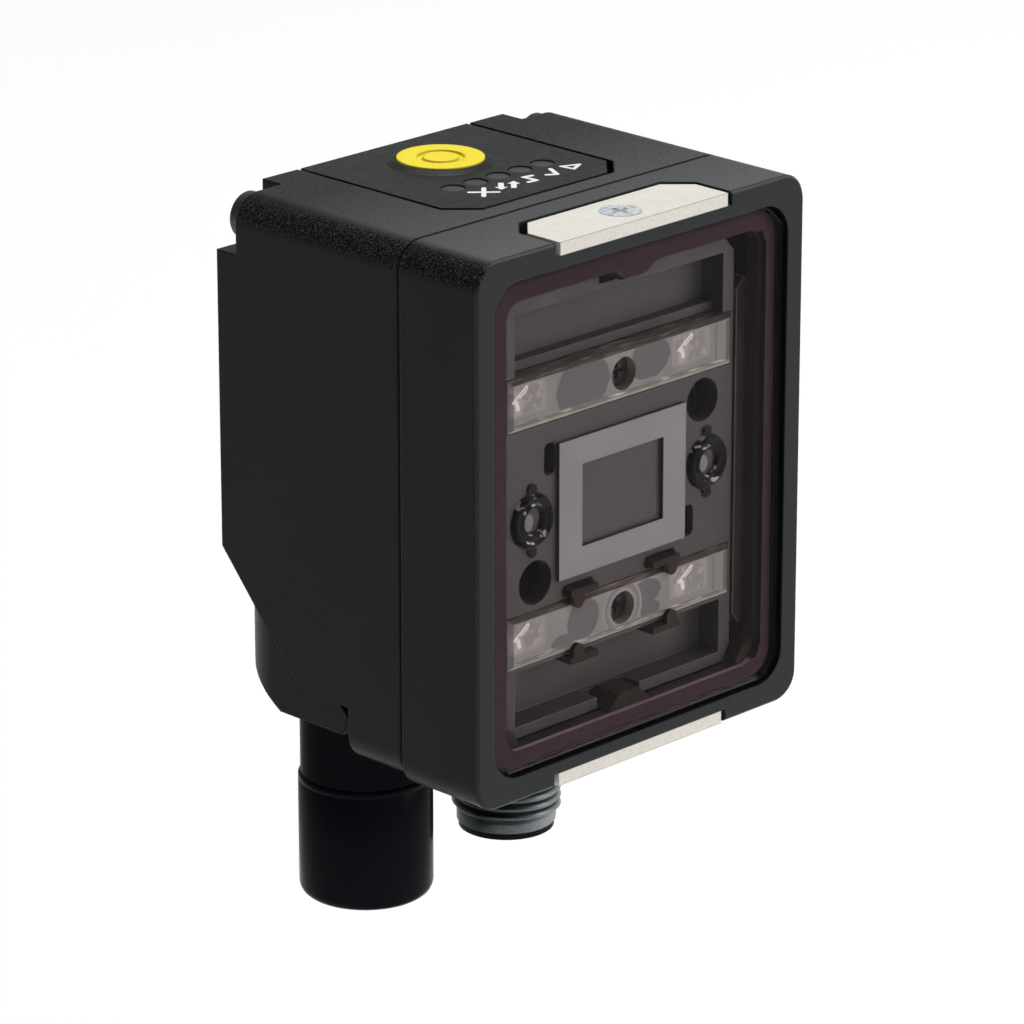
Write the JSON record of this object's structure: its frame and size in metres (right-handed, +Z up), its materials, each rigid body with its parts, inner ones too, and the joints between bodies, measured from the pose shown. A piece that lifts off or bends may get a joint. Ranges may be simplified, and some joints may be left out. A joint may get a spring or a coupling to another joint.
{
  "type": "vision sensor",
  "caption": "Compact block-shaped industrial vision sensor with a tinted front window, a status panel with a push button, and two round connectors under a wedge-shaped block.",
  "frame": {"origin": "middle of the four tapped mounting holes, on the rear mounting face", "axes": "+Y out of the rear mounting face, so the window looks along -Y; +Z up, away from the connectors; +X to the right seen from in front of the window"},
  "size_m": [0.048, 0.0375, 0.0794],
  "materials": {
    "black_casting": "fine textured powder coat",
    "black_rubber": "matte",
    "tinted_pane": "polished",
    "filter_glass": "polished",
    "lens_glass": "polished, coated",
    "clamp_metal": "fine blasted",
    "bright_steel": "satin",
    "black_steel": "black oxide",
    "panel_plastic": "fine texture",
    "yellow_plastic": "satin",
    "dark_plastic": "satin",
    "red_plastic": "satin",
    "guide_plastic": "smoked, clear",
    "lamp": "phosphor",
    "circuit_board": "solder mask",
    "bezel_plastic": "satin",
    "light_bar_plastic": "diffusing",
    "grey_plastic": "satin",
    "black_aluminium": "anodised",
    "chip_glass": "polished",
    "brass": "turned",
    "nickel_plating": "nickel plated",
    "insert_plastic": "satin",
    "gold_plating": "gold plated",
    "cap_plastic": "gloss",
    "ribbon": "film"
  },
  "bodies": {
    "sensor": {"main_housing": "black_casting", "front_cover": "black_casting", "cover_gasket": "black_rubber", "window_pane": "tinted_pane", "window_seal": "black_rubber", "top_clamp": "clamp_metal", "bottom_clamp": "clamp_metal", "clamp_screws": "bright_steel", "top_cover_screws": "black_steel", "bottom_cover_screws": "black_steel", "status_panel": "panel_plastic", "panel_gasket": "black_rubber", "button_seal": "black_rubber", "switch_body": "dark_plastic", "light_guides": "guide_plastic", "panel_board": "circuit_board", "panel_leds": "lamp", "panel_board_screws": "bright_steel", "optics_bezel": "bezel_plastic", "optics_carrier": "bezel_plastic", "upper_light_bar": "light_bar_plastic", "lower_light_bar": "light_bar_plastic", "bar_clips": "dark_plastic", "light_bar_screws": "black_steel", "light_boards": "circuit_board", "lamp_leds": "lamp", "aperture_frame": "grey_plastic", "filter_glass": "filter_glass", "aimer_housings": "dark_plastic", "aimer_lenses": "lens_glass", "lens_barrel": "black_aluminium", "lens_front_glass": "lens_glass", "lens_holder": "dark_plastic", "image_sensor": "chip_glass", "sensor_board": "circuit_board", "board_pillars": "brass", "board_screws": "bright_steel", "main_board": "circuit_board", "processor": "dark_plastic", "connector_block": "black_casting", "block_gasket": "black_rubber", "block_screws": "black_steel", "port_board": "circuit_board", "port_seals": "black_rubber", "plug_body": "nickel_plating", "plug_insert": "insert_plastic", "plug_pins": "gold_plating", "socket_body": "cap_plastic", "socket_insert": "insert_plastic", "protective_cap": "cap_plastic", "link_cable": "ribbon"},
    "button": {"push_button": "yellow_plastic", "switch_plunger": "red_plastic"}
  },
  "joints": [
    {"name": "button_press", "type": "slide", "parent": "sensor", "child": "button", "axis": [0, 0, -1], "range_m": [0, 0.0006], "stiffness_N_per_m": 1500, "springref_m": -0.0005}
  ]
}
